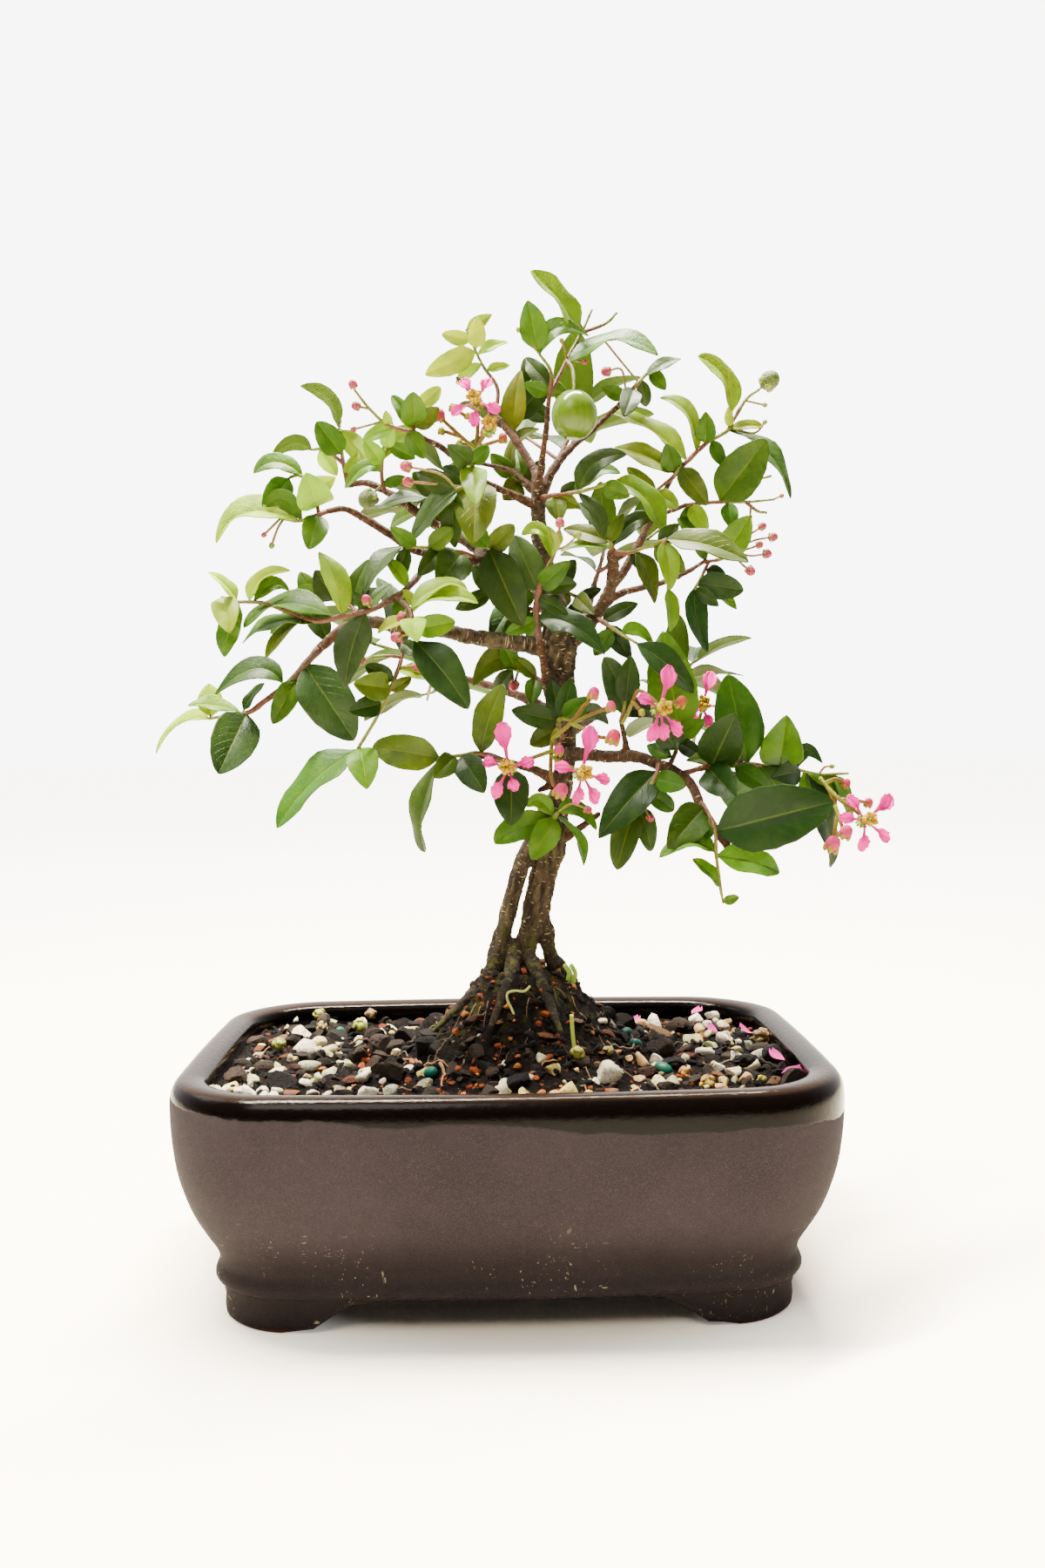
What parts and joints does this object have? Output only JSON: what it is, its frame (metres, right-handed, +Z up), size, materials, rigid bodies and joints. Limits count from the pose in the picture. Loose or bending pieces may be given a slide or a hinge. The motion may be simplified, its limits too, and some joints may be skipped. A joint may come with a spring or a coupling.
{
  "type": "potted flowering bonsai",
  "caption": "Small flowering cherry bonsai with woody trunk, opposite leaves, pink fringed flowers and green fruit, in a low rectangular glazed pot on feet.",
  "frame": {"origin": "on the table under the middle of the whole object", "axes": "+Z up, the pot's front faces -Y, +X to the viewer's right, the pot's long sides run along X"},
  "size_m": [0.2378, 0.1614, 0.3175],
  "materials": {
    "glaze": "dark brown glaze, glossy in a band under the rim, semi-gloss below, lime specks on the lower body",
    "screen": "dark plastic mesh",
    "soil": "grit of pumice, lava, bark and moss",
    "bark": "rough grey-brown bark",
    "leaf": "satin green leaf blades on thin twigs",
    "stalk": "thin green to red flower stalks, pink buds, yellow stamens",
    "petal": "thin pink petals",
    "fruit": "smooth unripe green skin"
  },
  "bodies": {
    "root": {"pot": "glaze", "drain_screen_left": "screen", "drain_screen_right": "screen", "soil": "soil", "tree_wood": "bark", "spray_left_low": "leaf", "spray_left_front": "leaf", "spray_left_hanging": "leaf", "spray_left_behind": "leaf", "spray_upper_left_tip": "leaf", "spray_left_high": "leaf", "spray_left_inner": "leaf", "spray_left_mid_high": "leaf", "spray_top_left": "leaf", "spray_centre_left": "leaf", "spray_limb_left": "leaf", "spray_centre_dark": "leaf", "spray_trunk_left": "leaf", "spray_front_centre": "leaf", "spray_right_inner": "leaf", "spray_right_inner_back": "leaf", "spray_knob": "leaf", "spray_centre_right": "leaf", "spray_right_top": "leaf", "spray_right_mid": "leaf", "spray_right_side": "leaf", "spray_right_buds": "leaf", "spray_top_centre": "leaf", "spray_top_right": "leaf", "spray_top_light": "leaf", "spray_top_back": "leaf", "spray_crown_inner": "leaf", "spray_trunk_front": "leaf", "spray_trunk_mid_left": "leaf", "spray_lower_left": "leaf", "spray_base_front": "leaf", "spray_right_low_mid": "leaf", "spray_right_low_end": "leaf", "spray_right_low_top": "leaf", "spray_right_low_inner": "leaf", "spray_right_upright": "leaf", "spray_rear_right_high": "leaf", "spray_rear_left_high": "leaf", "spray_rear_right_low": "leaf", "spray_rear_left_low": "leaf", "spray_rear_crown": "leaf", "cluster_centre": "stalk", "cluster_right": "stalk", "cluster_behind": "stalk", "cluster_right_end": "stalk", "cluster_upper_left": "stalk", "bloom_a": "petal", "bloom_b": "petal", "bloom_c": "petal", "bloom_d": "petal", "bloom_e": "petal", "bloom_f": "petal", "cherry": "fruit"}
  },
  "joints": []
}
